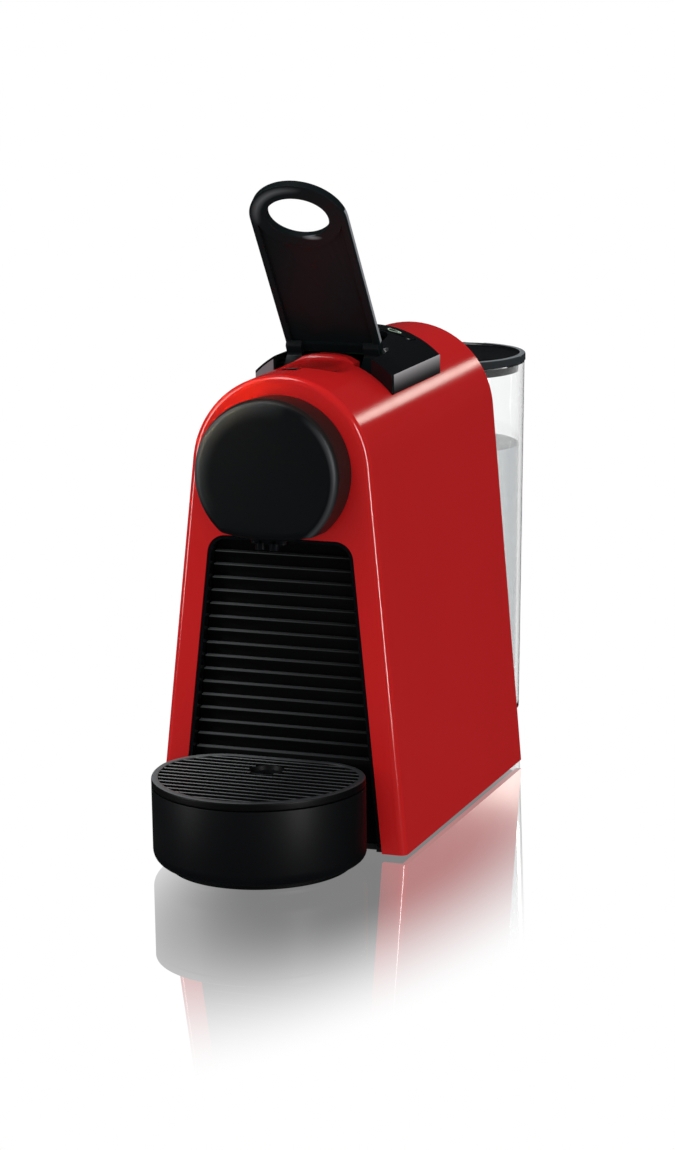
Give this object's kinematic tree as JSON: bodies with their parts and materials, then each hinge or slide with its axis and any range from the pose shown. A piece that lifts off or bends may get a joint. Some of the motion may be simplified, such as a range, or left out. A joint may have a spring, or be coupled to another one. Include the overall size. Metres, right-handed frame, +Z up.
{
  "type": "capsule espresso machine",
  "caption": "Slim red arch-shaped capsule espresso machine with a round black head, a finger-ring lever, a half-round drip tray and a clear rear water tank.",
  "frame": {"origin": "on the worktop, under the middle of the machine's bounding box", "axes": "+Z up, +Y towards the rear water tank, +X to the machine's right as seen from the front"},
  "size_m": [0.1096, 0.323, 0.2718],
  "materials": {
    "shell_red": "gloss",
    "black_gloss": "gloss",
    "black_satin": "satin",
    "frame_grey": "satin",
    "clear_tank": "clear",
    "steel": "satin",
    "cast_aluminium": "cast",
    "soft_rubber": "matte",
    "board_green": "satin"
  },
  "bodies": {
    "machine": {"outer_shell": "shell_red", "latch_socket": "black_satin", "base_plate": "black_satin", "base_screws": "steel", "rubber_feet": "soft_rubber", "rear_panel": "black_satin", "power_gland": "black_satin", "tank_cradle": "black_satin", "inlet_spigot": "black_satin", "inlet_seal": "soft_rubber", "front_liner": "black_gloss", "head_collar": "black_satin", "head_cap": "black_gloss", "coffee_spout": "black_satin", "button_band": "black_gloss", "capsule_guides": "steel", "control_board": "board_green", "key_switches": "black_satin", "brew_frame": "frame_grey", "coffee_sleeve": "frame_grey", "brew_bell": "black_satin", "bell_seal": "soft_rubber", "bell_needles": "steel", "pump": "steel", "pump_mounts": "soft_rubber", "thermoblock": "cast_aluminium", "flow_meter": "black_satin", "supply_hose": "soft_rubber", "pressure_hose": "soft_rubber", "hot_pipe": "steel"},
    "lever": {"lever": "black_gloss", "lever_shaft": "steel", "crank_arms": "steel"},
    "carriage": {"brew_carriage": "black_satin", "piercing_plate": "steel"},
    "espresso_key": {"key_espresso": "black_satin"},
    "lungo_key": {"key_lungo": "black_satin"},
    "drawer": {"container_front": "black_gloss", "capsule_container": "black_satin"},
    "tray": {"drip_tray": "black_gloss"},
    "grid": {"drip_grid": "black_satin"},
    "tank": {"water_tank": "clear_tank"},
    "lid": {"tank_lid": "black_gloss"},
    "valve": {"tank_valve": "black_satin"}
  },
  "joints": [
    {"name": "lever_hinge", "type": "hinge", "parent": "machine", "child": "lever", "pos_m": [0, -0.0332, 0.1846], "axis": [1, 0, 0], "range_deg": [0, 56.4]},
    {"name": "carriage_slide", "type": "slide", "parent": "machine", "child": "carriage", "axis": [0, 1, 0], "range_m": [0, 0.0281]},
    {"name": "espresso_key_press", "type": "slide", "parent": "machine", "child": "espresso_key", "axis": [0, 0, -1], "range_m": [0, 0.0009], "stiffness_N_per_m": 600, "springref_m": -0.0008},
    {"name": "lungo_key_press", "type": "slide", "parent": "machine", "child": "lungo_key", "axis": [0, 0, -1], "range_m": [0, 0.0009], "stiffness_N_per_m": 600, "springref_m": -0.0008},
    {"name": "drawer_slide", "type": "slide", "parent": "machine", "child": "drawer", "axis": [0, -1, 0], "range_m": [0, 0.11]},
    {"name": "tray_release", "type": "slide", "parent": "drawer", "child": "tray", "axis": [0, -1, 0], "range_m": [0, 0.03]},
    {"name": "grid_lift", "type": "slide", "parent": "tray", "child": "grid", "axis": [0, 0, 1], "range_m": [0, 0.025]},
    {"name": "tank_lift", "type": "slide", "parent": "machine", "child": "tank", "axis": [0, 0, 1], "range_m": [0, 0.04]},
    {"name": "lid_lift", "type": "slide", "parent": "tank", "child": "lid", "axis": [0, 0, 1], "range_m": [0, 0.025]},
    {"name": "valve_travel", "type": "slide", "parent": "tank", "child": "valve", "axis": [0, 0, -1], "range_m": [0, 0.0009]}
  ],
  "couplings": [
    {"joint": "carriage_slide", "follows": "lever_hinge", "m_per_rad": 0.028445}
  ]
}
